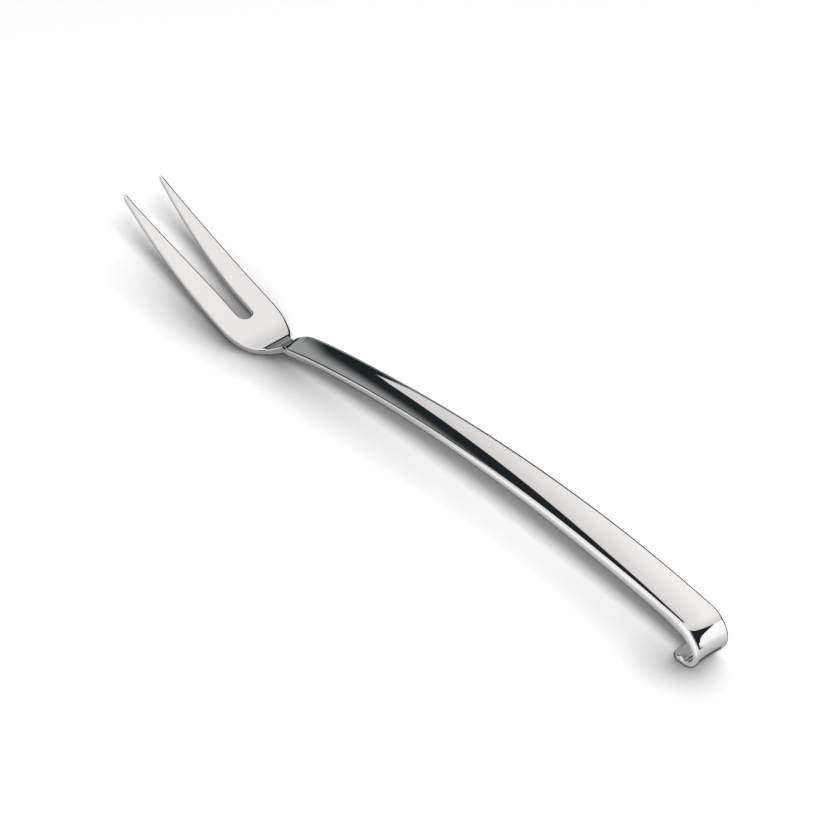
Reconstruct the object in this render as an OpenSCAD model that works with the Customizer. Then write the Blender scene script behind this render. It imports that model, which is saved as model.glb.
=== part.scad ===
/* [Head] */
// Distance along the blade from the tine tips to the crease at the heel
blade_len = 77; // [60:0.1:95]
// Half width of the head at its widest place
head_half_w = 11.25; // [9:0.05:14]
// Half width of the head where it meets the neck
neck_half_w = 5.5; // [4.5:0.05:6.5]
// How far each outer edge draws in from the widest place to the tips
outer_draw_in = 2.5; // [1:0.1:3.5]
// Half width of the slot between the tines at its closed end
slot_half_w = 2.75; // [2:0.05:3.2]
// Distance from the heel crease to the closed end of the slot
slot_start = 15; // [12:0.1:20]
// Length of the parallel part of the slot
slot_parallel = 10; // [6:0.5:20]
// How far each inner edge spreads from the parallel part to the tips
inner_spread = 4.65; // [3:0.05:5.2]
// Length of the rounded point of each tine
tip_len = 3.4; // [1.5:0.1:5]
// Length of the rounded shoulders beside the heel
shoulder_len = 15.2; // [10:0.1:20]
// Radius of the long upward curve of the blade
blade_r = 261; // [200:1:400]
// Radius of the bend at the heel
heel_r = 20.6; // [15:0.1:30]
// Angle through which the heel bends
heel_angle = 15.3; // [10:0.1:20]
// Length of the flat at the heel on which the head rests
heel_flat = 3.4; // [2:0.1:5]
// Thickness at the heel
heel_t = 2; // [1.5:0.05:2.6]
// Thickness at the tine tips
tip_t = 1.4; // [1:0.05:2]

/* [Neck] */
// Length of the riser between the heel and the handle
riser_len = 6.1; // [5:0.1:8]
// Slope of the riser
riser_angle = 31.8; // [26:0.1:38]
// Half width at the welded joint
joint_half_w = 3; // [2.5:0.05:4]
// Thickness at the welded joint
joint_t = 2.4; // [1.8:0.05:3]

/* [Handle] */
// Slope of the rounded front end of the handle at the joint
front_angle = 50; // [42:1:58]
// Radius of the rounded front end, seen from the side
front_r = 12.6; // [10:0.1:16]
// Slope of the handle behind its rounded front end
shoulder_angle = 16.9; // [14:0.1:20]
// Radius of the run from the front end into the main arch
shoulder_r = 149; // [110:1:190]
// Slope at which the main arch starts
arch_angle = 11.6; // [10:0.1:12.5]
// Radius of the main arch
arch_r = 506; // [450:1:560]
// Slope at which the main arch runs into the hook
hook_angle = 8.4; // [6:0.1:10]
// Half width of the front part of the handle
grip_front_half_w = 5.7; // [4.8:0.05:6.5]
// Half width of the rear part of the handle
grip_rear_half_w = 6.85; // [5.5:0.05:8]
// Length of the rounded shoulders in the outline at the front end
front_shoulder_len = 7.5; // [5:0.1:12]
// Distance from the joint to where the handle starts to widen
widen_start = 48; // [30:1:70]
// Distance from the joint to where the handle is at full width
widen_end = 158; // [120:1:185]
// Thickness behind the rounded front end
front_t = 2.6; // [2.2:0.05:3.4]
// Thickness where the hook starts
rear_t = 6; // [4.8:0.05:7]
// Depth of the dish along the top of the handle
dish = 0.45; // [0.1:0.05:0.8]
// Radius of the top edges at the front end
edge_r_front = 0.5; // [0.3:0.05:0.9]
// Radius of the top edges at the hook
edge_r_rear = 0.85; // [0.5:0.05:1.2]

/* [Hook] */
// Outer radius of the upper bend of the hook
hook_r = 9.3; // [8.5:0.1:11]
// Radius of the rail that the hook goes round
rail_r = 4; // [3:0.1:4.5]
// Thickness of the hook wall behind the rail
hook_t = 2.7; // [2:0.1:3.5]
// Thickness of the lip below the rail
lip_t = 2.5; // [1.6:0.05:3]
// Length of the flat lip in front of the lower bend
lip_len = 4.3; // [4:0.1:9]
// Thickness of the lip at its free end
lip_end_t = 1.2; // [0.9:0.05:1.5]
// Half width of the lip
lip_half_w = 6.4; // [5.4:0.05:6.8]
// Corner radius of the lip in its outline
lip_corner_r = 3.6; // [2:0.1:3.8]
// Depth to which the rail seat is cut into the hook
rail_cut = 0.2; // [0.1:0.05:0.3]

/* [Hidden] */

overrun = 2;
head_steps = 26;
front_steps = 8;
shoulder_steps = 6;
arch_steps = 30;
bend_steps = 16;
lip_steps = 7;
corner_steps = 3;
dish_steps = 6;
tip_steps = 6;

// Outline laws: exponents and shares chosen by hand
outer_power = 2;
inner_power = 1.55;
shoulder_power = 0.8;
thickness_power = 1.15;
crowd_power = 1.3;
tip_place_share = 0.45;
under_corner_share = 0.3;

// One step along a curve in the side view. A pose is [x, z, heading].
function pose_arc(p, r, turn) = [
    p[0] - r * sin(p[2]) + r * sin(p[2] + turn),
    p[1] + r * cos(p[2]) - r * cos(p[2] + turn),
    p[2] + turn
];
function pose_line(p, len) = [p[0] + len * cos(p[2]), p[1] + len * sin(p[2]), p[2]];
function mix(a, b, s) = a + (b - a) * max(0, min(1, s));
function last(list) = list[len(list) - 1];

// Side view of the handle, on the level of its top edges, from the joint to the lip
joint = [0, heel_t + riser_len * sin(riser_angle), front_angle];
front_poses = [for (i = [0 : front_steps])
    pose_arc(joint, -front_r, -(front_angle - shoulder_angle) * i / front_steps)];
shoulder_poses = [for (i = [1 : shoulder_steps])
    pose_arc(last(front_poses), -shoulder_r, -(shoulder_angle - arch_angle) * i / shoulder_steps)];
arch_poses = [for (i = [1 : arch_steps])
    pose_arc(last(shoulder_poses), -arch_r, -(arch_angle + hook_angle) * i / arch_steps)];
upper_poses = [for (i = [1 : bend_steps])
    pose_arc(last(arch_poses), -hook_r, -(90 - hook_angle) * i / bend_steps)];
// The lower bend ends on the surface that the fork lies on
lower_r = last(upper_poses)[1];
lower_poses = [for (i = [1 : bend_steps])
    pose_arc(last(upper_poses), -lower_r, -90 * i / bend_steps)];
lip_straight = lip_len - lip_corner_r;
lip_poses = concat(
    [pose_line(last(lower_poses), lip_straight)],
    [for (i = [1 : lip_steps])
        pose_line(last(lower_poses), lip_straight + lip_corner_r * sin(90 * i / lip_steps))]);

// Rail seat inside the hook
hook_x = last(upper_poses)[0];
rail_x = hook_x - hook_t - rail_r;
rail_z = lip_t + rail_r;

// Distance from a pose, square to the curve, to the rail seat
function to_rail(p) = let (
    dx = p[0] - rail_x,
    dz = p[1] - rail_z,
    along = -dx * sin(p[2]) + dz * cos(p[2]),
    reach = dx * dx + dz * dz - along * along
) reach < rail_r * rail_r ? along - sqrt(rail_r * rail_r - reach) : rear_t;

// Stations of the handle: [pose, lean of the section, half width, thickness, edge radius, dish]
function run_half_w(x) =
    mix(grip_front_half_w, grip_rear_half_w, (x - widen_start) / (widen_end - widen_start));
function front_half_w(x) = joint_half_w
    + (run_half_w(x) - joint_half_w) * sin(90 * min(1, x / front_shoulder_len));
function edge_r(x) = mix(edge_r_front, edge_r_rear, x / hook_x);
arch_start_x = last(front_poses)[0];
arch_end_x = last(arch_poses)[0];
function arch_t(x) = front_t + (rear_t - front_t)
    * pow(max(0, min(1, (x - arch_start_x) / (arch_end_x - arch_start_x))), thickness_power);
function front_station(i) = let (
    p = front_poses[i],
    s = i / front_steps
) [p, mix(riser_angle, shoulder_angle, s), front_half_w(p[0]), mix(joint_t, front_t, s), edge_r(p[0]), dish];
function arch_station(p) = [p, p[2], front_half_w(p[0]), arch_t(p[0]), edge_r(p[0]), dish];
function upper_station(p) =
    [p, p[2], grip_rear_half_w, min(rear_t, to_rail(p) + rail_cut), edge_r_rear, dish];
function lower_station(i) = let (
    p = lower_poses[i],
    s = (i + 1) / bend_steps
) [p, p[2], mix(grip_rear_half_w, lip_half_w, s), to_rail(p) + rail_cut, mix(edge_r_rear, lip_end_t / 2, s),
    dish * (1 - s)];
lip_root_t = to_rail(last(lower_poses)) + rail_cut;
function lip_station(p) = let (
    run = last(lower_poses)[0] - p[0],
    into = max(0, run - lip_straight)
) [p, p[2], lip_half_w - lip_corner_r + sqrt(max(0, lip_corner_r * lip_corner_r - into * into)),
    mix(lip_root_t, lip_end_t, run / lip_len), lip_end_t / 2, 0];
stations = concat(
    [for (i = [0 : front_steps]) front_station(i)],
    [for (p = shoulder_poses) arch_station(p)],
    [for (p = arch_poses) arch_station(p)],
    [for (p = upper_poses) upper_station(p)],
    [for (i = [0 : bend_steps - 1]) lower_station(i)],
    [for (p = lip_poses) lip_station(p)]);

// Cross-section of the handle as [sideways, up from the top edges], anticlockwise from the far edge
function corner(y, n, r, from) = [for (i = [0 : corner_steps])
    [y + r * cos(from + 90 * i / corner_steps), n + r * sin(from + 90 * i / corner_steps)]];
function dish_line(half, depth) = [for (i = [1 : dish_steps - 1])
    let (s = 1 - 2 * i / dish_steps) [half * s, -depth * (1 - s * s)]];
function section(half_w, t, r, hollow) = let (
    under_r = max(r, under_corner_share * t),
    low_r = min(under_r, t - r),
    depth = min(hollow, t / 4)
) concat(
    corner(half_w - r, -r, r, 0),
    dish_line(half_w - r, depth),
    corner(r - half_w, -r, r, 90),
    corner(low_r - half_w, low_r - t, low_r, 180),
    corner(half_w - low_r, low_r - t, low_r, 270));
function ring(st) = let (p = st[0], lean = st[1])
    [for (q = section(st[2], st[3], st[4], st[5])) [p[0] - q[1] * sin(lean), q[0], p[1] + q[1] * cos(lean)]];

// A closed solid through rings of equal length
module skin(rings) {
    n = len(rings[0]);
    m = len(rings);
    side = [for (i = [0 : m - 2], j = [0 : n - 1], half = [0, 1])
        let (a = i * n + j, b = i * n + (j + 1) % n)
        half == 0 ? [a, b + n, b] : [a, a + n, b + n]];
    start = [[for (j = [0 : n - 1]) j]];
    end = [[for (j = [0 : n - 1]) m * n - 1 - j]];
    polyhedron(points = [for (r = rings, q = r) q], faces = concat(side, start, end), convexity = 6);
}

// Side view of the head: the top line from the joint to the tips
crease = pose_line([joint[0], joint[1], riser_angle + 180], riser_len);
heel_end = pose_line([crease[0], crease[1], 180], heel_flat);
blade_start = pose_arc(heel_end, -heel_r, -heel_angle);
blade_run = blade_len - heel_flat - heel_r * heel_angle * PI / 180;
blade_turn = blade_run / blade_r * 180 / PI;
heel_poses = [for (i = [0 : front_steps]) pose_arc(heel_end, -heel_r, -heel_angle * i / front_steps)];
blade_poses = [for (i = [1 : head_steps]) pose_arc(blade_start, -blade_r, -blade_turn * i / head_steps)];
function head_under(p, s) = let (t = mix(heel_t, tip_t, s)) [p[0] - t * sin(p[2]), p[1] + t * cos(p[2])];
tip_x = last(blade_poses)[0];
under_line = concat(
    [for (p = heel_poses) head_under(p, 0)],
    [for (i = [0 : head_steps - 1]) head_under(blade_poses[i], (i + 1) / head_steps)]);
head_side = concat(
    [[joint[0], joint[1]], [crease[0], crease[1]]],
    [for (p = concat(heel_poses, blade_poses)) [p[0], p[1]]],
    [for (i = [len(under_line) - 1 : -1 : 0]) under_line[i]],
    [[crease[0] + heel_t * tan(riser_angle / 2), 0],
     [joint[0] + joint_t * sin(riser_angle), joint[1] - joint_t * cos(riser_angle)]]);

// Outline of the head, seen from above, as half widths over the distance from the crease
widest_run = shoulder_len;
head_run = crease[0] - tip_x;
slot_end_run = slot_start + slot_half_w;
spread_run = slot_end_run + slot_parallel - slot_half_w;
function outer_half_w(d) = d < widest_run
    ? neck_half_w + (head_half_w - neck_half_w) * pow(1 - pow(1 - d / widest_run, 2), shoulder_power)
    : head_half_w - outer_draw_in * pow((d - widest_run) / (head_run - widest_run), outer_power);
function inner_half_w(d) = d < spread_run
    ? slot_half_w
    : slot_half_w + inner_spread * pow((d - spread_run) / (head_run - spread_run), inner_power);
tip_run = head_run - tip_len;
tip_outer = outer_half_w(tip_run);
tip_inner = inner_half_w(tip_run);
tip_y = mix(inner_half_w(head_run), outer_half_w(head_run), tip_place_share);
function outer_at(i) = let (d = tip_run * pow(i / head_steps, crowd_power)) [crease[0] - d, outer_half_w(d)];
function inner_at(i) = let (d = mix(spread_run, tip_run, i / head_steps)) [crease[0] - d, inner_half_w(d)];
function tip_edge(edge_y, i) = let (a = 90 * i / tip_steps)
    [crease[0] - mix(tip_run, head_run, sin(a)), mix(tip_y, edge_y, cos(a))];
half_outline = concat(
    [for (i = [0 : head_steps]) outer_at(i)],
    [for (i = [1 : tip_steps]) tip_edge(tip_outer, i)],
    [for (i = [tip_steps - 1 : -1 : 1]) tip_edge(tip_inner, i)],
    [for (i = [head_steps : -2 : 0]) inner_at(i)]);
function flip(list) = [for (i = [len(list) - 1 : -1 : 0]) [list[i][0], -list[i][1]]];
neck_reach = joint[0] + overrun;
neck_slope = (joint_half_w - neck_half_w) / (joint[0] - crease[0]);
reach_half_w = joint_half_w + neck_slope * overrun;
slot_arc = [for (i = [1 : 2 * tip_steps - 1])
    let (a = 90 * i / tip_steps)
    [crease[0] - slot_end_run + slot_half_w * sin(a), slot_half_w * cos(a)]];
head_outline = concat([[neck_reach, reach_half_w]], half_outline, slot_arc,
    flip(half_outline), [[neck_reach, -reach_half_w]]);

// The origin is on the table below the middle of the fork's length
centre_x = (tip_x + hook_x) / 2;

module tine_head() {
    color([0.86, 0.86, 0.85])
    translate([-centre_x, 0, 0])
    intersection() {
        translate([0, head_half_w + overrun, 0])
        rotate([90, 0, 0])
        linear_extrude(2 * (head_half_w + overrun))
        polygon(head_side);
        translate([0, 0, -overrun])
        linear_extrude(blade_len)
        polygon(head_outline);
    }
}

module handle() {
    color([0.72, 0.73, 0.74])
    translate([-centre_x, 0, 0])
    difference() {
        skin([for (st = stations) ring(st)]);
        translate([rail_x, grip_rear_half_w + overrun, rail_z])
        rotate([90, 0, 0])
        cylinder(r = rail_r, h = 2 * (grip_rear_half_w + overrun), $fn = 96);
    }
}

tine_head();
handle();
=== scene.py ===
import math

import bpy
import numpy as np
from mathutils import Matrix, Vector
from mathutils.geometry import delaunay_2d_cdt


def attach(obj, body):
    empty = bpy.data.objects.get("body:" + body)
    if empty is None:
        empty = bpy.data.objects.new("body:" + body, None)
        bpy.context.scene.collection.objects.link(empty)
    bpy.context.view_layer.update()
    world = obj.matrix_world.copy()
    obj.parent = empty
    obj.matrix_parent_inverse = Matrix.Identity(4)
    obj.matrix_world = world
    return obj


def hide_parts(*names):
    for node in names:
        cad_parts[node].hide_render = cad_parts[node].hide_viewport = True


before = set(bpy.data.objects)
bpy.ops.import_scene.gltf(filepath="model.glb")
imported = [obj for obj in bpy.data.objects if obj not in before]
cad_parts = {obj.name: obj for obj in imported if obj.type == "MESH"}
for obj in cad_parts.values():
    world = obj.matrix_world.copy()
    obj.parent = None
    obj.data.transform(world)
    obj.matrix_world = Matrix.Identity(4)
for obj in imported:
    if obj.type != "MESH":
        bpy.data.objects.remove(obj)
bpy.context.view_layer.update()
scene = bpy.context.scene
scene.view_settings.view_transform = "Standard"

MM = 0.001

# Sizes of the fork in millimetres, the same as in the CAD source
HEEL_T = 2.0
TIP_T = 1.4
RISER_LEN = 6.1
RISER_ANGLE = 31.8
BLADE_LEN = 77.0
HEEL_FLAT = 3.4
HEEL_R = 20.6
HEEL_ANGLE = 15.3
BLADE_R = 261.0
HEAD_HALF_W = 11.25
NECK_HALF_W = 5.5
OUTER_DRAW_IN = 2.5
SHOULDER_LEN = 15.2
SHOULDER_POWER = 0.8
SLOT_HALF_W = 2.75
SLOT_START = 15.0
SLOT_PARALLEL = 10.0
INNER_SPREAD = 4.65
INNER_SPREAD_POWER = 1.55
TIP_LEN = 3.4
TIP_PLACE = 0.45
JOINT_HALF_W = 3.0
JOINT_T = 2.4
FRONT_ANGLE = 50.0
FRONT_R = 12.6
SHOULDER_ANGLE = 16.9
SHOULDER_R = 149.0
ARCH_ANGLE = 11.6
ARCH_R = 506.0
HOOK_ANGLE = 8.4
HOOK_R = 9.3
GRIP_FRONT_HALF_W = 5.7
GRIP_REAR_HALF_W = 6.85
FRONT_SHOULDER_LEN = 7.5
WIDEN_START = 48.0
WIDEN_END = 158.0
FRONT_T = 2.6
REAR_T = 6.0
THICKNESS_POWER = 1.15
DISH = 0.45
RAIL_R = 4.0
HOOK_T = 2.7
LIP_T = 2.5
LIP_LEN = 4.3
LIP_END_T = 1.2
LIP_HALF_W = 6.4
LIP_CORNER_R = 3.6

# Details that only the visual model has
NEAR_EDGE_R = (0.95, 0.5)
FAR_EDGE_R = (1.8, 0.8)
BARREL = 11.0
RIDGE_TILT = 12.0
LOW_EDGE_SHARE = 0.3
TOP_EDGE_SHARE = 0.48
DISH_SHARE = 0.25
CREASE_R = 5.0
HEAD_EDGE_R = 0.8
HEAD_LOW_R = 0.4
TIP_EDGE_R = 0.2
TIP_EDGE_GROWTH = 0.45
LIP_ROUND = 0.5
# How far the head reaches into the handle at the joint, and how much narrower it is there
JOINT_REACH = 0.4
JOINT_DRAW_IN = 0.35
# Keeps the faceted curves just inside the box of the solids
FIT = 0.9997
# How far the head's top and low lines run on past the joint, and half of the blend at its knee
TOP_OVERRUN = 1.5
LOW_OVERRUN = 1.0
KNEE_BLEND = 1.2
# Thinnest section and smallest edge, at the very end of the lip
LEAST_T = 0.05
LEAST_R = 0.02

# Mesh steps along the handle
FRONT_STEPS = 36
SHOULDER_STEPS = 20
ARCH_STEPS = 110
HOOK_STEPS = 60
LIP_STEPS = 4
LIP_CORNER_STEPS = 24
# Mesh steps around it
EDGE_STEPS = 14
SIDE_STEPS = 10
LOW_EDGE_STEPS = 12
UNDER_STEPS = 14
TOP_STEPS = 40
# Mesh steps along the head's side view
HEEL_STEPS = 40
BLADE_STEPS = 120
FILLET_STEPS = 24
# Mesh steps along the head's outline, round its edges and over its flats
RISER_STEPS = 12
OUTER_STEPS = 160
OUTER_CROWDING = 1.3
TIP_STEPS = 20
INNER_STEPS = 120
SLOT_SIDE_STEPS = 6
SLOT_END_STEPS = 36
HEAD_EDGE_STEPS = 8
LEAST_SIDE = 0.03
GRID_X = 0.8
GRID_Y = 1.0
GRID_HALF_W = 11.0
GRID_SKEW = 0.0001
GRID_MARGIN = 0.25
# Points of the grid looked at in one go
GRID_BATCH = 200


def rad(a):
    return a * math.pi / 180


def arc(pose, r, turn, steps):
    """Poses [x, z, heading in degrees] along an arc, the first one left out."""
    x, z, h = pose
    out = []
    for i in range(1, steps + 1):
        a = rad(h + turn * i / steps)
        out.append((x - r * math.sin(rad(h)) + r * math.sin(a),
                    z + r * math.cos(rad(h)) - r * math.cos(a),
                    h + turn * i / steps))
    return out


def mix(a, b, s):
    return a + (b - a) * min(1.0, max(0.0, s))


def smooth(s):
    s = min(1.0, max(0.0, s))
    return s * s * (3 - 2 * s)


# The handle

JOINT = (0.0, HEEL_T + RISER_LEN * math.sin(rad(RISER_ANGLE)), FRONT_ANGLE)
front = [JOINT] + arc(JOINT, -FRONT_R, -(FRONT_ANGLE - SHOULDER_ANGLE), FRONT_STEPS)
shoulder = arc(front[-1], -SHOULDER_R, -(SHOULDER_ANGLE - ARCH_ANGLE), SHOULDER_STEPS)
arch = arc(shoulder[-1], -ARCH_R, -(ARCH_ANGLE + HOOK_ANGLE), ARCH_STEPS)
upper = arc(arch[-1], -HOOK_R, -(90 - HOOK_ANGLE), HOOK_STEPS)
LOWER_R = upper[-1][1]
lower = arc(upper[-1], -LOWER_R, -90, HOOK_STEPS)
HOOK_X = upper[-1][0]
RAIL_X = HOOK_X - HOOK_T - RAIL_R
RAIL_Z = LIP_T + RAIL_R
ARCH_START = front[-1][0]
ARCH_END = arch[-1][0]


def to_rail(pose):
    """Distance from a pose, square to the path, to the rail seat."""
    x, z, h = pose
    dx, dz = x - RAIL_X, z - RAIL_Z
    along = -dx * math.sin(rad(h)) + dz * math.cos(rad(h))
    reach = dx * dx + dz * dz - along * along
    if reach >= RAIL_R ** 2:
        return REAR_T
    return along - math.sqrt(RAIL_R ** 2 - reach)


def run_half_w(x):
    return mix(GRIP_FRONT_HALF_W, GRIP_REAR_HALF_W, (x - WIDEN_START) / (WIDEN_END - WIDEN_START))


def front_half_w(x):
    s = math.sin(math.pi / 2 * min(1.0, max(0.0, x) / FRONT_SHOULDER_LEN))
    return JOINT_HALF_W + (run_half_w(x) - JOINT_HALF_W) * s


def strap_t(x):
    s = min(1.0, max(0.0, (x - ARCH_START) / (ARCH_END - ARCH_START)))
    return FRONT_T + (REAR_T - FRONT_T) * s ** THICKNESS_POWER


def edge_r(ends, x):
    return mix(*ends, x / HOOK_X)


def stations():
    """Pose, lean of the section, half width, thickness, near and far edge radius and dish depth of each."""
    out = []
    n = len(front) - 1
    for i, p in enumerate(front):
        s = i / n
        out.append((p, mix(RISER_ANGLE, SHOULDER_ANGLE, s), front_half_w(p[0]),
                    mix(JOINT_T, FRONT_T, s), edge_r(NEAR_EDGE_R, p[0]), edge_r(FAR_EDGE_R, p[0]),
                    DISH * smooth(s)))
    for p in shoulder + arch:
        out.append((p, p[2], front_half_w(p[0]), strap_t(p[0]), edge_r(NEAR_EDGE_R, p[0]),
                    edge_r(FAR_EDGE_R, p[0]), DISH))
    for p in upper:
        out.append((p, p[2], GRIP_REAR_HALF_W, min(REAR_T, to_rail(p)), NEAR_EDGE_R[1], FAR_EDGE_R[1], DISH))
    root_t = to_rail(lower[-1])
    for i, p in enumerate(lower):
        s = (i + 1) / len(lower)
        out.append((p, p[2], mix(GRIP_REAR_HALF_W, LIP_HALF_W, s), to_rail(p),
                    mix(NEAR_EDGE_R[1], LIP_END_T / 2, s), mix(FAR_EDGE_R[1], LIP_END_T / 2, s),
                    DISH * (1 - smooth(s))))
    straight = LIP_LEN - LIP_CORNER_R
    x0, z0, h0 = lower[-1]
    runs = [straight * i / LIP_STEPS for i in range(1, LIP_STEPS + 1)]
    runs += [straight + LIP_CORNER_R * math.sin(math.pi / 2 * i / LIP_CORNER_STEPS)
             for i in range(1, LIP_CORNER_STEPS + 1)]
    for run in runs:
        into = max(0.0, run - straight)
        w = LIP_HALF_W - LIP_CORNER_R + math.sqrt(max(0.0, LIP_CORNER_R ** 2 - into ** 2))
        t = mix(root_t, LIP_END_T, run / LIP_LEN)
        end = LIP_LEN - run
        lift = 0.0
        if end < LIP_ROUND:
            lift = LIP_ROUND - math.sqrt(max(0.0, LIP_ROUND ** 2 - (LIP_ROUND - end) ** 2))
        p = (x0 - run, z0 + lift, h0)
        r = max(LEAST_R, LIP_END_T / 2 - lift)
        out.append((p, h0, w, max(LEAST_T, t - 2 * lift), r, r, 0.0))
    return out


def turn_arc(y, z, r, start, end, steps):
    """Points along an arc whose outward normal leans from start to end, in degrees from straight up."""
    a = rad(start)
    return [(y + r * (math.sin(b) - math.sin(a)), z + r * (math.cos(b) - math.cos(a)))
            for b in (a + (rad(end) - a) * i / steps for i in range(1, steps + 1))]


def flank(half, t, r, start):
    """One side of a section, from the crown of the top to the underside."""
    low = min(max(r, LOW_EDGE_SHARE * t), t - r)
    b = rad(BARREL)
    height = t - r * (math.cos(rad(start)) - math.sin(b)) - low * (1 - math.sin(b))
    barrel_r = max(height, LEAST_R) / (2 * math.sin(b))
    crown = half - r * (math.cos(b) - math.sin(rad(start))) - barrel_r * (1 - math.cos(b))
    pts = [(crown, 0.0)]
    pts += turn_arc(*pts[-1], r, start, 90 - BARREL, EDGE_STEPS)
    pts += turn_arc(*pts[-1], barrel_r, 90 - BARREL, 90 + BARREL, SIDE_STEPS)
    pts += turn_arc(*pts[-1], low, 90 + BARREL, 180, LOW_EDGE_STEPS)
    return pts


def section(half, t, near_r, far_r, dish):
    """Closed section as (sideways, up) points: from the far crown round the underside and over the dish."""
    near_r = min(near_r, t * TOP_EDGE_SHARE)
    far_r = min(far_r, t * TOP_EDGE_SHARE)
    dish = min(dish, t * DISH_SHARE)
    lead = math.degrees(math.atan(2 * dish / half))
    far = flank(half, t, far_r, -lead)
    near = flank(half, t, near_r, RIDGE_TILT)
    foot = far[-1][0]
    width = foot + near[-1][0]
    pts = far + [(foot - width * i / UNDER_STEPS, -t) for i in range(1, UNDER_STEPS)]
    pts += [(-y, z) for y, z in near[::-1]]
    middle = (far[0][0] - near[0][0]) / 2
    reach = (far[0][0] + near[0][0]) / 2
    for i in range(TOP_STEPS - 1, 0, -1):
        # Closer together at both crowns, so that the shading turns sharply there
        u = math.cos(math.pi * i / TOP_STEPS)
        pts.append((middle + reach * u, -dish * (1 - u * u)))
    return pts


def new_object(name, verts, faces, normals=None):
    mesh = bpy.data.meshes.new(name)
    mesh.from_pydata([tuple(v) for v in verts], [], faces)
    mesh.update()
    for p in mesh.polygons:
        p.use_smooth = True
    if normals is not None:
        mesh.normals_split_custom_set_from_vertices([tuple(n) for n in normals])
    obj = bpy.data.objects.new(name, mesh)
    scene.collection.objects.link(obj)
    return obj


def centre_x():
    return (blade[-1][0] + HOOK_X) / 2


def handle_mesh():
    st = stations()
    rings = []
    for (x, z, _), lean, half, t, near_r, far_r, dish in st:
        a = rad(lean)
        rings.append([(x - q[1] * math.sin(a), q[0], z + q[1] * math.cos(a))
                      for q in section(half, t, near_r, far_r, dish)])
    grid = np.array(rings)
    grid[:, :, 0] -= centre_x()
    grid *= (MM * FIT, MM * FIT, MM)
    m, n, _ = grid.shape
    along = np.gradient(grid, axis=0)
    around = np.roll(grid, -1, axis=1) - np.roll(grid, 1, axis=1)
    normal = np.cross(around, along)
    size = np.linalg.norm(normal, axis=2, keepdims=True)
    normal = normal / np.maximum(size, 1e-15)
    outward = grid - grid.mean(axis=1, keepdims=True)
    if (normal * outward).sum() < 0:
        normal = -normal
    verts = grid.reshape(-1, 3).tolist()
    norms = normal.reshape(-1, 3).tolist()
    faces = []
    for i in range(m - 1):
        for j in range(n):
            a, b = i * n + j, i * n + (j + 1) % n
            faces.append((a, a + n, b + n, b))
    for ring, facing in ((0, -1), (m - 1, 1)):
        start = len(verts)
        x0 = grid[ring].mean(axis=0)
        tangent = (grid[1] - grid[0]).mean(axis=0) if ring == 0 else (grid[-1] - grid[-2]).mean(axis=0)
        tangent = tangent / np.linalg.norm(tangent) * facing
        verts += grid[ring].tolist() + [x0.tolist()]
        norms += [tangent.tolist()] * (n + 1)
        for j in range(n):
            a, b = start + j, start + (j + 1) % n
            faces.append((start + n, a, b) if ring else (start + n, b, a))
    return new_object("handle_polished", verts, faces, norms)


# The head

CREASE = (-RISER_LEN * math.cos(rad(RISER_ANGLE)), HEEL_T)
heel_end = (CREASE[0] - HEEL_FLAT, HEEL_T)


def back_arc(start, r, turn, steps):
    """Poses (x, z, rise) along an upward arc that runs towards the tines."""
    x, z, h = start
    out = []
    for i in range(1, steps + 1):
        a = rad(h + turn * i / steps)
        out.append((x - r * (math.sin(a) - math.sin(rad(h))),
                    z + r * (math.cos(rad(h)) - math.cos(a)),
                    h + turn * i / steps))
    return out


heel = [(*heel_end, 0.0)] + back_arc((*heel_end, 0.0), HEEL_R, HEEL_ANGLE, HEEL_STEPS)
blade_run = BLADE_LEN - HEEL_FLAT - HEEL_R * rad(HEEL_ANGLE)
blade_turn = blade_run / BLADE_R * 180 / math.pi
blade = back_arc(heel[-1], BLADE_R, blade_turn, BLADE_STEPS)

# Top line of the head from the joint to the tips, with a fillet in the crease: x, z and rise
fillet_run = CREASE_R * math.tan(rad(RISER_ANGLE) / 2)
riser_dir = (math.cos(rad(RISER_ANGLE)), math.sin(rad(RISER_ANGLE)))
top_line = [(JOINT[0] + TOP_OVERRUN * riser_dir[0], JOINT[1] + TOP_OVERRUN * riser_dir[1], -RISER_ANGLE)]
for k in range(FILLET_STEPS + 1):
    ang = RISER_ANGLE * (1 - k / FILLET_STEPS)
    top_line.append((CREASE[0] - fillet_run + CREASE_R * math.sin(rad(ang)),
                     CREASE[1] + CREASE_R * (1 - math.cos(rad(ang))), -ang))
top_line += heel + blade
top_line = top_line[::-1]
TOP_X = np.array([p[0] for p in top_line])
TOP_Z = np.array([p[1] for p in top_line])
TOP_A = np.array([p[2] for p in top_line])

# The same for its underside
under = []
for k, p in enumerate(heel + blade):
    t = HEEL_T if k < len(heel) else mix(HEEL_T, TIP_T, (k - len(heel) + 1) / len(blade))
    under.append((p[0] - t * math.sin(rad(p[2])), p[1] - t * math.cos(rad(p[2])), p[2]))
knee = CREASE[0] + HEEL_T * math.tan(rad(RISER_ANGLE) / 2)
joint_low = (JOINT[0] + JOINT_T * riser_dir[1], JOINT[1] - JOINT_T * riser_dir[0])
low_slope = math.degrees(math.atan2(joint_low[1], joint_low[0] - knee))
low_line = [(joint_low[0] + LOW_OVERRUN, joint_low[1] + LOW_OVERRUN * math.tan(rad(low_slope)), -low_slope),
            (knee + KNEE_BLEND, KNEE_BLEND * math.tan(rad(low_slope)), -low_slope)]
low_line += [(knee - KNEE_BLEND, 0.0, 0.0)] + under
low_line = low_line[::-1]
LOW_X = np.array([p[0] for p in low_line])
LOW_Z = np.array([p[1] for p in low_line])
LOW_A = np.array([p[2] for p in low_line])

HEAD_RUN = CREASE[0] - blade[-1][0]
SLOT_END = SLOT_START + SLOT_HALF_W
SPREAD_RUN = SLOT_END + SLOT_PARALLEL - SLOT_HALF_W


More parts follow.
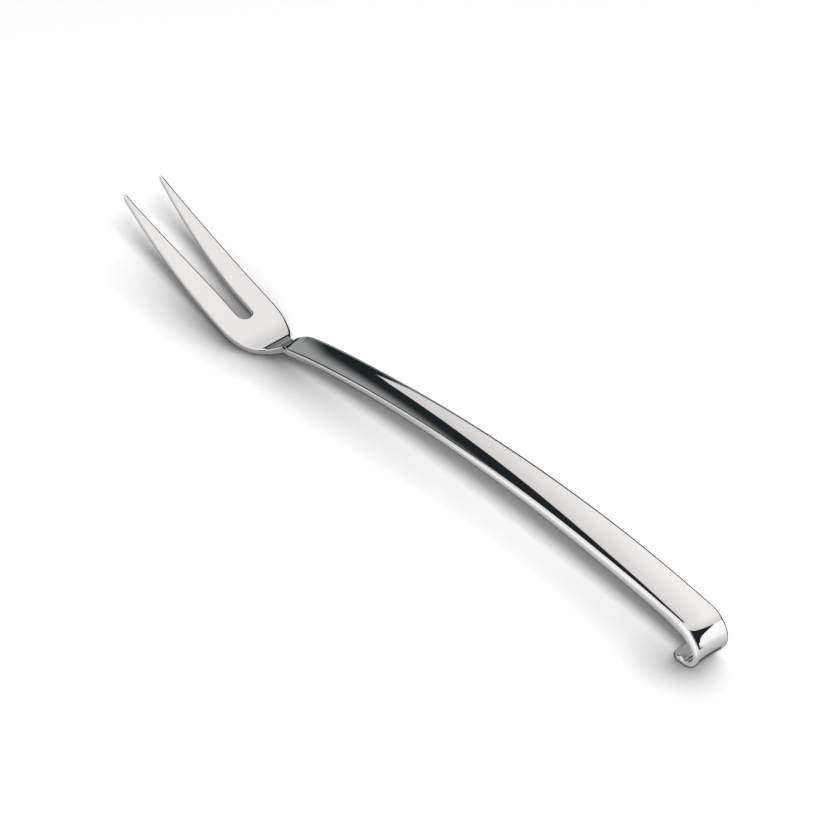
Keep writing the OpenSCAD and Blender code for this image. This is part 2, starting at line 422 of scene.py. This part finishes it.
def outer_half_w(d):
    if d < SHOULDER_LEN:
        s = (1 - (1 - d / SHOULDER_LEN) ** 2) ** SHOULDER_POWER
        return NECK_HALF_W + (HEAD_HALF_W - NECK_HALF_W) * s
    return HEAD_HALF_W - OUTER_DRAW_IN * ((d - SHOULDER_LEN) / (HEAD_RUN - SHOULDER_LEN)) ** 2


def inner_half_w(d):
    if d < SPREAD_RUN:
        return SLOT_HALF_W
    return SLOT_HALF_W + INNER_SPREAD * ((d - SPREAD_RUN) / (HEAD_RUN - SPREAD_RUN)) ** INNER_SPREAD_POWER


def head_outline():
    """The upper half and then its mirror image, as one closed line of (x, y)."""
    tip_run = HEAD_RUN - TIP_LEN
    tip_y = mix(inner_half_w(HEAD_RUN), outer_half_w(HEAD_RUN), TIP_PLACE)
    slope = (JOINT_HALF_W - NECK_HALF_W) / (JOINT[0] - CREASE[0])
    reach = JOINT[0] + JOINT_REACH

    def tip(k, side_y):
        a = math.pi / 2 * k / TIP_STEPS
        return CREASE[0] - mix(tip_run, HEAD_RUN, math.sin(a)), mix(tip_y, side_y, math.cos(a))

    half = [(reach, JOINT_HALF_W + slope * (reach - JOINT[0]) - JOINT_DRAW_IN)]
    half += [(JOINT[0] - (JOINT[0] - CREASE[0]) * k / RISER_STEPS,
              JOINT_HALF_W + (NECK_HALF_W - JOINT_HALF_W) * k / RISER_STEPS) for k in range(1, RISER_STEPS)]
    for k in range(OUTER_STEPS + 1):
        d = tip_run * (k / OUTER_STEPS) ** OUTER_CROWDING
        half.append((CREASE[0] - d, outer_half_w(d)))
    half += [tip(k, outer_half_w(tip_run)) for k in range(1, TIP_STEPS)]
    half += [tip(k, inner_half_w(tip_run)) for k in range(TIP_STEPS, 0, -1)]
    for k in range(INNER_STEPS, -1, -1):
        d = mix(SPREAD_RUN, tip_run, k / INNER_STEPS)
        half.append((CREASE[0] - d, inner_half_w(d)))
    for k in range(1, SLOT_SIDE_STEPS):
        half.append((CREASE[0] - mix(SPREAD_RUN, SLOT_END, k / SLOT_SIDE_STEPS), SLOT_HALF_W))
    slot = []
    for k in range(SLOT_END_STEPS + 1):
        a = math.pi * k / SLOT_END_STEPS
        slot.append((CREASE[0] - SLOT_END + SLOT_HALF_W * math.sin(a), SLOT_HALF_W * math.cos(a)))
    return half + slot + [(x, -y) for x, y in half[::-1]]


def head_mesh():
    line = np.array(head_outline())
    keep = [0]
    for i in range(1, len(line)):
        if np.hypot(*(line[i] - line[keep[-1]])) > LEAST_SIDE:
            keep.append(i)
    line = line[keep]
    n = len(line)
    ahead = np.roll(line, -1, axis=0) - line
    behind = line - np.roll(line, 1, axis=0)
    ahead /= np.linalg.norm(ahead, axis=1, keepdims=True)
    behind /= np.linalg.norm(behind, axis=1, keepdims=True)
    tangent = ahead + behind
    tangent /= np.linalg.norm(tangent, axis=1, keepdims=True)
    out = np.c_[tangent[:, 1], -tangent[:, 0]]
    area = 0.5 * np.sum(line[:, 0] * np.roll(line[:, 1], -1) - np.roll(line[:, 0], -1) * line[:, 1])
    if area < 0:
        out = -out
    to_tip = line[:, 0] - blade[-1][0]
    top_r = np.minimum(HEAD_EDGE_R, TIP_EDGE_R + TIP_EDGE_GROWTH * to_tip)
    low_r = np.minimum(HEAD_LOW_R, TIP_EDGE_R + TIP_EDGE_GROWTH * to_tip)
    verts, norms, faces = [], [], []

    def surface(xy, xs, zs, angles, side):
        z = np.interp(xy[:, 0], xs, zs)
        a = np.radians(np.interp(xy[:, 0], xs, angles))
        return z, np.c_[np.sin(a), np.zeros(len(a)), np.cos(a)] * side

    # Rings from the flat of the top, round the edge, down the side and round to the flat below
    rings = []
    wall = np.c_[out, np.zeros(n)]
    for k in range(HEAD_EDGE_STEPS + 1):
        a = math.pi / 2 * k / HEAD_EDGE_STEPS
        xy = line - out * (top_r * (1 - math.sin(a)))[:, None]
        z, nrm = surface(xy, TOP_X, TOP_Z, TOP_A, 1)
        rings.append((np.c_[xy, z - top_r * (1 - math.cos(a))], nrm * math.cos(a) + wall * math.sin(a)))
    for k in range(HEAD_EDGE_STEPS, -1, -1):
        a = math.pi / 2 * k / HEAD_EDGE_STEPS
        xy = line - out * (low_r * (1 - math.sin(a)))[:, None]
        z, nrm = surface(xy, LOW_X, LOW_Z, LOW_A, -1)
        rings.append((np.c_[xy, z + low_r * (1 - math.cos(a))], nrm * math.cos(a) + wall * math.sin(a)))
    for v, nn in rings:
        verts += v.tolist()
        norms += (nn / np.linalg.norm(nn, axis=1, keepdims=True)).tolist()
    m = len(rings)
    for k in range(m - 1):
        for i in range(n):
            a, b = k * n + i, k * n + (i + 1) % n
            faces.append((a, b, b + n, a + n) if area < 0 else (a, a + n, b + n, b))
    caps = ((0, (TOP_X, TOP_Z, TOP_A, 1)), (m - 1, (LOW_X, LOW_Z, LOW_A, -1)))
    for level, (xs, zs, angles, side) in caps:
        rim = rings[level][0][:, :2]
        grid = []
        for x in np.arange(rim[:, 0].min(), rim[:, 0].max(), GRID_X):
            for y in np.arange(-GRID_HALF_W, GRID_HALF_W + GRID_MARGIN, GRID_Y):
                grid.append((x + GRID_SKEW * y, y))
        points = [Vector(p) for p in rim] + [Vector(p) for p in inside(np.array(grid), rim, GRID_MARGIN)]
        edges = [(i, (i + 1) % n) for i in range(n)]
        co, _, tris, orig, _, _ = delaunay_2d_cdt(points, edges, [], 1, 1e-6)
        co = np.array([tuple(c) for c in co])
        z, nrm = surface(co, xs, zs, angles, side)
        place = []
        for i, source in enumerate(orig):
            if source and source[0] < n:
                place.append(level * n + source[0])
            else:
                place.append(len(verts))
                verts.append([co[i][0], co[i][1], z[i]])
                norms.append(nrm[i].tolist())
        for a, b, c in tris:
            ab, ac = co[b] - co[a], co[c] - co[a]
            turn = ab[0] * ac[1] - ab[1] * ac[0]
            tri = (a, b, c) if turn * side > 0 else (a, c, b)
            faces.append(tuple(place[t] for t in tri))
    verts = (np.array(verts) - np.array([centre_x(), 0, 0])) * (MM * FIT, MM * FIT, MM)
    return new_object("head_polished", verts.tolist(), faces, norms)


def inside(points, rim, margin):
    """The points that lie inside a closed line and further than margin from its corners."""
    ahead = np.roll(rim, -1, axis=0)
    hit = np.zeros(len(points), bool)
    for p, q in zip(rim, ahead):
        cross = (p[1] > points[:, 1]) != (q[1] > points[:, 1])
        if q[1] != p[1]:
            x = p[0] + (points[:, 1] - p[1]) * (q[0] - p[0]) / (q[1] - p[1])
            hit ^= cross & (points[:, 0] < x)
    for i in range(0, len(points), GRID_BATCH):
        batch = points[i:i + GRID_BATCH, None, :]
        gap = np.linalg.norm(batch - rim[None, :, :], axis=2).min(axis=1)
        hit[i:i + GRID_BATCH] &= gap > margin
    return points[hit]


# Materials

NOISE_ROUGHNESS = 0.55
# How a piece's seed moves its noise
SEED_WAY = (1.0, 0.37, 0.71)
# Wiping haze: broad patches in which the polish is a little softer and dimmer
HAZE_SCALE = 60.0
HAZE_DETAIL = 4.0
HAZE_SOFT_RANGE = (0.35, 0.7)
HAZE_ROUGH = 0.025
HAZE_DIM_RANGE = (0.4, 0.65)
HAZE_DIM = 0.965
# Fine scratches along the fork and a few across it: scale, stretch and strength of the bump
ALONG = (900.0, (0.02, 1.0, 1.0), 0.012)
ACROSS = (700.0, (1.0, 0.03, 0.4), 0.008)
SCRATCH_DETAIL = 2.0
SCRATCH_RANGE = (0.62, 0.75)
SCRATCH_ROUGH = 0.05
BUMP_DISTANCE = 0.0001


def polished_steel(name, color, rough, seed):
    mat = bpy.data.materials.new(name)
    mat.use_nodes = True
    nt = mat.node_tree
    nodes, links = nt.nodes, nt.links
    bsdf = nodes["Principled BSDF"]
    bsdf.inputs["Metallic"].default_value = 1.0
    coord = nodes.new("ShaderNodeTexCoord")

    def noise(scale, stretch, detail):
        mapping = nodes.new("ShaderNodeMapping")
        mapping.inputs["Scale"].default_value = stretch
        mapping.inputs["Location"].default_value = [seed * way for way in SEED_WAY]
        tex = nodes.new("ShaderNodeTexNoise")
        tex.inputs["Scale"].default_value = scale
        tex.inputs["Detail"].default_value = detail
        tex.inputs["Roughness"].default_value = NOISE_ROUGHNESS
        links.new(coord.outputs["Object"], mapping.inputs["Vector"])
        links.new(mapping.outputs["Vector"], tex.inputs["Vector"])
        return tex.outputs["Fac"]

    def ramp(source, span, low, high):
        m = nodes.new("ShaderNodeMapRange")
        m.inputs["From Min"].default_value = span[0]
        m.inputs["From Max"].default_value = span[1]
        m.inputs["To Min"].default_value = low
        m.inputs["To Max"].default_value = high
        links.new(source, m.inputs["Value"])
        return m.outputs["Result"]

    def bump(source, strength, below=None):
        node = nodes.new("ShaderNodeBump")
        node.inputs["Strength"].default_value = strength
        node.inputs["Distance"].default_value = BUMP_DISTANCE
        links.new(source, node.inputs["Height"])
        if below is not None:
            links.new(below, node.inputs["Normal"])
        return node.outputs["Normal"]

    haze = noise(HAZE_SCALE, (1.0, 1.0, 1.0), HAZE_DETAIL)
    along = noise(*ALONG[:2], SCRATCH_DETAIL)
    across = noise(*ACROSS[:2], SCRATCH_DETAIL)
    add = nodes.new("ShaderNodeMath")
    add.operation = "ADD"
    links.new(ramp(haze, HAZE_SOFT_RANGE, rough, rough + HAZE_ROUGH), add.inputs[0])
    links.new(ramp(along, SCRATCH_RANGE, 0.0, SCRATCH_ROUGH), add.inputs[1])
    links.new(add.outputs["Value"], bsdf.inputs["Roughness"])
    tint = nodes.new("ShaderNodeMix")
    tint.data_type = "RGBA"
    tint.inputs["A"].default_value = (*color, 1)
    tint.inputs["B"].default_value = (*[c * HAZE_DIM for c in color], 1)
    links.new(ramp(haze, HAZE_DIM_RANGE, 0.0, 1.0), tint.inputs["Factor"])
    links.new(tint.outputs["Result"], bsdf.inputs["Base Color"])
    links.new(bump(across, ACROSS[2], bump(along, ALONG[2])), bsdf.inputs["Normal"])
    return mat


head_obj = head_mesh()
handle_obj = handle_mesh()
# Colour, roughness and seed
HEAD_STEEL = ((0.685, 0.670, 0.665), 0.016, 1.3)
HANDLE_STEEL = ((0.73, 0.713, 0.708), 0.012, 4.7)
NODE_STEEL = ((0.72, 0.71, 0.69), 0.04, 2.1)
head_obj.data.materials.append(polished_steel("head_polished_steel", *HEAD_STEEL))
handle_obj.data.materials.append(polished_steel("handle_polished_steel", *HANDLE_STEEL))
for piece, node, slot in ((head_obj, "tine_head", "head_steel"), (handle_obj, "handle", "handle_steel")):
    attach(piece, "root")
    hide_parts(node)
for node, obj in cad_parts.items():
    obj.data.materials.clear()
    obj.data.materials.append(polished_steel(node + "_steel", *NODE_STEEL))

# Stage


# Rays of the painted shade on the paper under the fork
PAINTED_SHADE_SAMPLES = 12


class Graph:
    """Short calls for the nodes of one material or world."""

    def __init__(self, owner):
        owner.use_nodes = True
        self.nodes = owner.node_tree.nodes
        self.links = owner.node_tree.links
        self.nodes.clear()

    def put(self, socket, value):
        if isinstance(value, bpy.types.NodeSocket):
            self.links.new(value, socket)
        else:
            socket.default_value = value

    def math(self, op, *values):
        node = self.nodes.new("ShaderNodeMath")
        node.operation = op
        for socket, value in zip(node.inputs, values):
            self.put(socket, value)
        return node.outputs["Value"]

    def inverse(self, value):
        return self.math("SUBTRACT", 1.0, value)

    def step(self, value, low, high, to_low=0.0, to_high=1.0, kind="SMOOTHSTEP"):
        node = self.nodes.new("ShaderNodeMapRange")
        node.interpolation_type = kind
        for name, v in (("Value", value), ("From Min", low), ("From Max", high),
                        ("To Min", to_low), ("To Max", to_high)):
            self.put(node.inputs[name], v)
        return node.outputs["Result"]

    def curve(self, value, points, x_range, y_range):
        """A line through points, with both axes given in their own units."""
        x0, x1 = x_range
        y0, y1 = y_range
        node = self.nodes.new("ShaderNodeFloatCurve")
        line = node.mapping.curves[0]
        spots = [((x - x0) / (x1 - x0), (y - y0) / (y1 - y0)) for x, y in points]
        line.points[0].location = spots[0]
        line.points[1].location = spots[-1]
        for spot in spots[1:-1]:
            line.points.new(*spot)
        for point in line.points:
            point.handle_type = "VECTOR"
        node.mapping.update()
        self.put(node.inputs["Value"], self.step(value, x0, x1, kind="LINEAR"))
        return self.step(node.outputs["Value"], 0.0, 1.0, y0, y1, kind="LINEAR")

    def open_share(self, reach, normal):
        """Share of open directions around a normal, looked at over a short reach."""
        node = self.nodes.new("ShaderNodeAmbientOcclusion")
        node.samples = PAINTED_SHADE_SAMPLES
        self.put(node.inputs["Distance"], reach)
        way = self.nodes.new("ShaderNodeCombineXYZ")
        for socket, value in zip(way.inputs, normal):
            self.put(socket, value)
        self.links.new(way.outputs["Vector"], node.inputs["Normal"])
        return node.outputs["AO"]

    def blend(self, a, b, fac):
        node = self.nodes.new("ShaderNodeMix")
        node.data_type = "RGBA"
        for name, v in (("A", a), ("B", b)):
            self.put(node.inputs[name], (*v, 1.0) if isinstance(v, tuple) else v)
        self.put(node.inputs["Factor"], fac)
        return node.outputs["Result"]

    def emit(self, kind, color, strength=1.0):
        node = self.nodes.new(kind)
        self.put(node.inputs["Color"], (*color, 1.0) if isinstance(color, tuple) else color)
        self.put(node.inputs["Strength"], strength)
        return node.outputs[0]

    def mix_shader(self, fac, a, b):
        node = self.nodes.new("ShaderNodeMixShader")
        self.put(node.inputs["Fac"], fac)
        self.links.new(a, node.inputs[1])
        self.links.new(b, node.inputs[2])
        return node.outputs["Shader"]


# The studio by direction in degrees: azimuth from +X towards +Y, and elevation.
# Overhead softbox: its lower and its upper edge, each as (azimuth, elevation).
SOFTBOX_LOW = ((-180, 90), (12, 90), (16, 34), (60, 36), (85, 40), (110, 39.5), (118, 39.2), (125.4, 38),
               (140, 35.6), (150, 34.3), (156.5, 33.6), (159.5, 37.5), (161.5, 42), (164, 90), (180, 90))
SOFTBOX_HIGH = ((-180, 0), (12, 0), (13, 90), (155, 90), (156, 50), (161, 45), (163, 38), (165, 31),
                (180, 31))
# Ceiling: white above this elevation
CEILING = ((-180, 52), (-105, 60), (-85, 56), (10, 56), (20, 68), (125, 68), (150, 54), (180, 52))
# White side card: its upper edge
CARD_TOP = ((-180, -90), (13, -90), (15, 36), (28, 36), (43.5, 15), (45, -60), (50, -90), (180, -90))
# Softness of these edges in degrees
SOFTBOX_LOW_SOFT = 0.5
SOFTBOX_HIGH_SOFT = 1.0
CEILING_SOFT = 2.0
CARD_SOFT = 1.0
# Pale wall behind the camera: brightness by azimuth
WALL = ((-180, 0), (-166, 0), (-150, 0.25), (-143, 0.7), (-135, 1.1), (-115, 1.1), (-95, 0.75), (-75, 0.75),
        (-60, 0), (180, 0))
# Grey wall behind the tines: the elevations over which it fades out, and the azimuths at its two ends
GREY_FADE = (13.0, 27.5)
GREY_START = (122.0, 131.0)
GREY_END = (-6.0, 8.0)
# Elevations between which the softbox and the ceiling grow brighter
WHITE_RISE = (37.0, 60.0)
DARK = (0.017, 0.023, 0.027)
GREY = (0.395, 0.425, 0.425)
WHITE_LOW = 0.89
WHITE_HIGH = 1.21
WHITE_TINT = (1.0, 0.99, 0.984)
CARD_WHITE = 1.36
WALL_WHITE = 1.2


def build_world():
    world = bpy.data.worlds.new("studio")
    scene.world = world
    g = Graph(world)
    coord = g.nodes.new("ShaderNodeTexCoord")
    split = g.nodes.new("ShaderNodeSeparateXYZ")
    g.links.new(coord.outputs["Generated"], split.inputs["Vector"])
    x, y, z = split.outputs
    elev = g.math("MULTIPLY", g.math("ARCSINE", z), 180 / math.pi)
    azim = g.math("MULTIPLY", g.math("ARCTAN2", y, x), 180 / math.pi)
    turn = (-180, 180)

    def above(points, soft):
        edge = g.curve(azim, points, turn, (-90, 90))
        return g.step(g.math("SUBTRACT", elev, edge), -soft, soft)

    softbox = g.math("MULTIPLY", above(SOFTBOX_LOW, SOFTBOX_LOW_SOFT),
                     g.inverse(above(SOFTBOX_HIGH, SOFTBOX_HIGH_SOFT)))
    ceiling = above(CEILING, CEILING_SOFT)
    card = g.inverse(above(CARD_TOP, CARD_SOFT))
    grey = g.math("MULTIPLY", g.inverse(g.step(elev, *GREY_FADE)),
                  g.math("MAXIMUM", g.step(azim, *GREY_START), g.inverse(g.step(azim, *GREY_END))))
    glow = g.step(elev, *WHITE_RISE, WHITE_LOW, WHITE_HIGH, "LINEAR")
    white = g.nodes.new("ShaderNodeCombineColor")
    for socket, share in zip(white.inputs, WHITE_TINT):
        g.put(socket, g.math("MULTIPLY", glow, share))
    wall = g.curve(azim, WALL, turn, (0.0, WALL_WHITE))
    color = g.blend(DARK, GREY, grey)
    color = g.blend(color, (WALL_WHITE,) * 3, g.math("DIVIDE", wall, WALL_WHITE))
    color = g.blend(color, (CARD_WHITE,) * 3, card)
    color = g.blend(color, white.outputs["Color"], g.math("MAXIMUM", softbox, ceiling))
    light = g.nodes.new("ShaderNodeLightPath")
    fill = g.emit("ShaderNodeBackground", (1.0, 1.0, 1.0), FILL_LEVEL)
    paper = g.emit("ShaderNodeBackground", (1.0, 1.0, 1.0))
    mirror = g.emit("ShaderNodeBackground", color)
    shader = g.mix_shader(light.outputs["Is Glossy Ray"], fill, mirror)
    shader = g.mix_shader(light.outputs["Is Camera Ray"], shader, paper)
    out = g.nodes.new("ShaderNodeOutputWorld")
    g.links.new(shader, out.inputs["Surface"])


FILL_LEVEL = 0.16
KEY_LEVEL = 0.955
PAPER = 0.93
PAPER_GLOW = 0.07
FLOOR_HALF = 3.0
# The paper lies this much below the fork
FLOOR_GAP = 0.00002
# Range of places along the fork for all curves by place
ALONG_FORK = (-0.15, 0.15)
# Painted shade: a soft darkening of the paper on the far side of the fork, its reach and its strength, by
# place
PAINTED_SHADE_REACH = ((-0.15, 0.03), (-0.12, 0.024), (-0.09, 0.018), (-0.06, 0.024), (0.15, 0.024))
PAINTED_SHADE_POWER = ((-0.15, 2.6), (-0.12, 2.0), (-0.09, 1.7), (-0.07, 1.3), (-0.055, 1.0), (0.15, 1.0))
# Its lean from straight up towards the far side, in degrees, and towards the tines
PAINTED_SHADE_LEAN = ((-0.15, 0.0), (-0.09, 8.0), (-0.07, 25.0), (-0.05, 49.0), (0.15, 49.0))
PAINTED_SHADE_FORWARD = -0.12
# Painted contact shadow: a darkening of the paper close to the places where the fork stands, its reach and
# its strength, most at the heel
PAINTED_CONTACT_REACH = ((-0.15, 0.026), (-0.10, 0.020), (-0.085, 0.015), (-0.058, 0.016), (-0.02, 0.02),
                 (0.15, 0.02))
PAINTED_CONTACT_POWER = ((-0.15, 0.2), (-0.11, 0.5), (-0.085, 1.2), (-0.068, 2.5), (-0.058, 1.1), (-0.045, 0.4),
                 (-0.02, 0.0), (0.112, 0.0), (0.125, 0.6), (0.15, 0.6))
# The way it looks: towards the far side
PAINTED_CONTACT_SIDE = (-0.1, 0.98, 0.15)
# Ranges of the curves above: reaches, strength and lean
PAINTED_SHADE_RANGE = (0.0, 0.04)
PAINTED_CONTACT_RANGE = (0.0, 0.03)
POWER_RANGE = (0.0, 3.0)
LEAN_RANGE = (0.0, 50.0)

# Colour of the painted reflection of the paper, which only the metal sees
MIRROR_TINT = (0.972, 0.994, 1.0)
# Brightness of this painted reflection beside the fork, darker as painted shade, and away from it, brighter
# than the paper towards the hook as painted glow: at the head, at the hook, and the places between
PAINTED_REFLECTION_NEAR = (0.42, 0.66)
PAINTED_REFLECTION_FAR = (0.66, 1.32)
NEAR_RISE = (-0.07, 0.05)
FAR_RISE = (-0.02, 0.01)
# Distances from the fork's outline over which the painted reflection goes from one to the other
PAINTED_REFLECTION_FADE = (0.010, 0.030)
# How far the painted shade beside the fork reaches, by place, as a share of these distances
PAINTED_REFLECTION_REACH = ((-0.15, 1.0), (0.06, 1.05), (0.113, 1.0), (0.122, 0.65), (0.13, 0.38), (0.15, 0.38))
REACH_RANGE = (0.0, 1.2)
# Half length and half width of the outline from which the distances count
OUTLINE = (0.14, 0.007)
# Painted shadow under the arch, which only the metal sees: its two ends, the distances over which it fades
# and its factor
PAINTED_ARCH_SHADOW_START = (-0.065, -0.04)
PAINTED_ARCH_SHADOW_END = (0.115, 0.13)
PAINTED_ARCH_SHADOW_FADE = (0.004, 0.011)
PAINTED_ARCH_SHADOW_FACTOR = 0.33
# Painted reflection past the hook, darker close to it and brighter than the paper further off: its brightness
# by distance from it, and where this takes over
PAINTED_PAST_HOOK = ((0.0, 0.5), (0.004, 0.65), (0.0075, 0.765), (0.0105, 0.84), (0.015, 0.9), (0.021, 0.99),
             (0.031, 1.1), (0.05, 1.25), (0.07, 1.32))
PAINTED_PAST_HOOK_RUN = (0.0, 0.07)
PAINTED_PAST_HOOK_RANGE = (0.0, 1.4)
PAINTED_PAST_HOOK_START = (0.137, 0.142)
# Painted shadow line where the hook stands on the paper, which only the metal sees: its start, the distances
# over which it fades, its factor
PAINTED_HOOK_LINE_START = (0.112, 0.12)
PAINTED_HOOK_LINE_FADE = (0.0, 0.0025)
PAINTED_HOOK_LINE_SHADE = 0.22
# Painted dark reflection: a black card on the far side of the fork, painted on the paper, which only the
# metal sees. Its corner comes closer to the hook, away from its foot.
PAINTED_CARD_Y = 0.008
PAINTED_CARD_X = 0.140
PAINTED_CARD_SOFT = 0.002
PAINTED_CARD_CORNER_Y = 0.013
PAINTED_CARD_CORNER_X = 0.018
# Only the first mirror bounce sees the painted card and the painted shadow line
FIRST_BOUNCE = 1.5


def build_floor():
    half = FLOOR_HALF
    corners = [(-half, -half, 0), (half, -half, 0), (half, half, 0), (-half, half, 0)]
    obj = new_object("floor", corners, [(0, 1, 2, 3)])
    obj.location.z = -FLOOR_GAP
    mat = bpy.data.materials.new("pale_paper")
    g = Graph(mat)
    light = g.nodes.new("ShaderNodeLightPath")
    glossy = light.outputs["Is Glossy Ray"]
    # What the camera sees: white paper with the lamps' soft shadows and painted shade close to the fork
    coord = g.nodes.new("ShaderNodeTexCoord")
    split = g.nodes.new("ShaderNodeSeparateXYZ")
    g.links.new(coord.outputs["Object"], split.inputs["Vector"])
    x, y, _ = split.outputs

    def by_place(points, values):
        return g.curve(x, points, ALONG_FORK, values)

    # Painted shade: ambient occlusion, set by place, darkens the paper beside the fork on top of the lamps'
    # shadows
    lean = g.math("RADIANS", by_place(PAINTED_SHADE_LEAN, LEAN_RANGE))
    side = (PAINTED_SHADE_FORWARD, g.math("SINE", lean), g.math("COSINE", lean))
    shade = g.open_share(by_place(PAINTED_SHADE_REACH, PAINTED_SHADE_RANGE), side)
    shade = g.math("POWER", shade, by_place(PAINTED_SHADE_POWER, POWER_RANGE))
    painted_contact_shadow = g.open_share(by_place(PAINTED_CONTACT_REACH, PAINTED_CONTACT_RANGE), PAINTED_CONTACT_SIDE)
    painted_contact_shadow = g.math("POWER", painted_contact_shadow, by_place(PAINTED_CONTACT_POWER, POWER_RANGE))
    paper_tone_with_painted_shade = g.math("MULTIPLY", g.math("MULTIPLY", shade, painted_contact_shadow), PAPER)
    diffuse = g.nodes.new("ShaderNodeBsdfDiffuse")
    color = g.nodes.new("ShaderNodeCombineColor")
    for socket in color.inputs:
        g.put(socket, paper_tone_with_painted_shade)
    g.links.new(color.outputs["Color"], diffuse.inputs["Color"])
    add = g.nodes.new("ShaderNodeAddShader")
    g.links.new(diffuse.outputs["BSDF"], add.inputs[0])
    glow = g.math("MULTIPLY", light.outputs["Is Camera Ray"], PAPER_GLOW)
    g.links.new(g.emit("ShaderNodeEmission", (1.0, 1.0, 1.0), glow), add.inputs[1])
    # What the metal sees: a painted reflection of the paper, darker close to the fork as painted shade, and a
    # painted black card
    out_x = g.math("MAXIMUM", g.math("SUBTRACT", g.math("ABSOLUTE", x), OUTLINE[0]), 0.0)
    out_y = g.math("MAXIMUM", g.math("SUBTRACT", g.math("ABSOLUTE", y), OUTLINE[1]), 0.0)
    away = g.math("SQRT", g.math("ADD", g.math("MULTIPLY", out_x, out_x), g.math("MULTIPLY", out_y, out_y)))
    away = g.math("DIVIDE", away, by_place(PAINTED_REFLECTION_REACH, REACH_RANGE))
    near = g.step(x, *NEAR_RISE, *PAINTED_REFLECTION_NEAR)
    level = g.step(away, *PAINTED_REFLECTION_FADE, near, g.step(x, *FAR_RISE, *PAINTED_REFLECTION_FAR))
    # Painted shadow under the arch, on the paper as the metal sees it
    painted_arch_shadow = g.math("MULTIPLY", g.step(x, *PAINTED_ARCH_SHADOW_START), g.inverse(g.step(x, *PAINTED_ARCH_SHADOW_END)))
    painted_arch_shadow = g.math("MULTIPLY", painted_arch_shadow, g.inverse(g.step(away, *PAINTED_ARCH_SHADOW_FADE)))
    level = g.math("MULTIPLY", level, g.step(painted_arch_shadow, 0.0, 1.0, 1.0, PAINTED_ARCH_SHADOW_FACTOR, "LINEAR"))
    # Painted reflection past the hook
    painted_past_hook = g.curve(out_x, PAINTED_PAST_HOOK, PAINTED_PAST_HOOK_RUN, PAINTED_PAST_HOOK_RANGE)
    level = g.step(g.step(x, *PAINTED_PAST_HOOK_START), 0.0, 1.0, level, painted_past_hook, "LINEAR")
    first = g.math("LESS_THAN", light.outputs["Glossy Depth"], FIRST_BOUNCE)
    # Painted shadow line under the hook, for the first mirror bounce only
    line = g.math("MULTIPLY", g.step(x, *PAINTED_HOOK_LINE_START), g.inverse(g.step(away, *PAINTED_HOOK_LINE_FADE)))
    line = g.math("MULTIPLY", line, first)
    level = g.math("MULTIPLY", level, g.step(line, 0.0, 1.0, 1.0, PAINTED_HOOK_LINE_SHADE, "LINEAR"))
    # Painted black card on the far side, for the first mirror bounce only
    past = g.math("SUBTRACT", y, PAINTED_CARD_Y)
    beyond = g.math("SUBTRACT", x, PAINTED_CARD_X)
    slant = g.math("SUBTRACT", past, beyond)
    corner = g.math("MINIMUM", g.math("ADD", slant, PAINTED_CARD_CORNER_Y), g.math("SUBTRACT", beyond, PAINTED_CARD_CORNER_X))
    painted_card = g.step(g.math("MAXIMUM", g.math("MINIMUM", past, slant), corner), 0.0, PAINTED_CARD_SOFT)
    paper = g.emit("ShaderNodeEmission", MIRROR_TINT, level)
    painted_reflection = g.mix_shader(g.math("MULTIPLY", painted_card, first), paper, g.emit("ShaderNodeEmission", DARK))
    shader = g.mix_shader(glossy, add.outputs["Shader"], painted_reflection)
    out = g.nodes.new("ShaderNodeOutputMaterial")
    g.links.new(shader, out.inputs["Surface"])
    obj.data.materials.append(mat)


# Camera: fitted to the photograph in units of one pixel at the target

# Millimetres to a pixel, width of the picture and focal length in pixels
PX = 0.3277
PICTURE = 827
CAM_F = 4038.0
CAM_AZ, CAM_EL = rad(48.10), rad(40.23)
# Pixels from the origin to the point at which the camera looks
LOOK_AT = (2.9, 0, 44.04)
# The fit's own frame: how far it leans against the table, its drop in height and the middle of the fork
TILT = rad(0.43)
DROP = -0.275
MIDDLE = -63.2
SENSOR = 36.0
CLIP_NEAR = 0.05
back = np.array([math.sin(CAM_AZ) * math.cos(CAM_EL), -math.cos(CAM_AZ) * math.cos(CAM_EL), math.sin(CAM_EL)])
right = np.array([math.cos(CAM_AZ), math.sin(CAM_AZ), 0.0])
up = np.cross(back, right)
# The fit counts pixels from the middle of the first one, which moves the picture by half a pixel
place = back * CAM_F * PX + np.array(LOOK_AT) * PX - PX / 2 * right + PX / 2 * up
place -= np.array([0, 0, DROP])
lean = np.array([[math.cos(TILT), 0, math.sin(TILT)], [0, 1, 0], [-math.sin(TILT), 0, math.cos(TILT)]])
place = lean.T @ place - np.array([MIDDLE + centre_x(), 0, 0])
camera = bpy.data.cameras.new("camera")
camera.sensor_width = SENSOR
camera.lens = SENSOR * CAM_F / PICTURE
camera.clip_start = CLIP_NEAR
camera_obj = bpy.data.objects.new("camera", camera)
axes = [lean.T @ v for v in (right, up, back)]
camera_rows = [[*(axis[i] for axis in axes), place[i] * MM] for i in range(3)]
camera_obj.matrix_world = Matrix([*camera_rows, [0, 0, 0, 1]])
scene.collection.objects.link(camera_obj)
scene.camera = camera_obj

KEY_DISTANCE = 4.0
# Soft lamps beside the camera: how far to its side and above it, size, share of the light
KEYS = ((0.125, 0.185, 1.05, 0.72), (0.05, 0.08, 0.9, 0.28))


def build_keys():
    """Round soft lamps which light the floor and cast the shadow."""
    for i, (side, above, size, share) in enumerate(KEYS):
        way = Vector(axes[2] + side * axes[0] + above * axes[1]).normalized()
        lamp = bpy.data.lights.new(f"soft_key_{i}", "AREA")
        lamp.shape = "DISK"
        lamp.size = size
        lamp.energy = share * KEY_LEVEL * math.pi ** 2 * KEY_DISTANCE ** 2 / way.z
        obj = bpy.data.objects.new(lamp.name, lamp)
        obj.location = way * KEY_DISTANCE
        obj.rotation_mode = "QUATERNION"
        obj.rotation_quaternion = way.to_track_quat("Z", "Y")
        obj.visible_glossy = False
        scene.collection.objects.link(obj)


build_world()
build_floor()
build_keys()
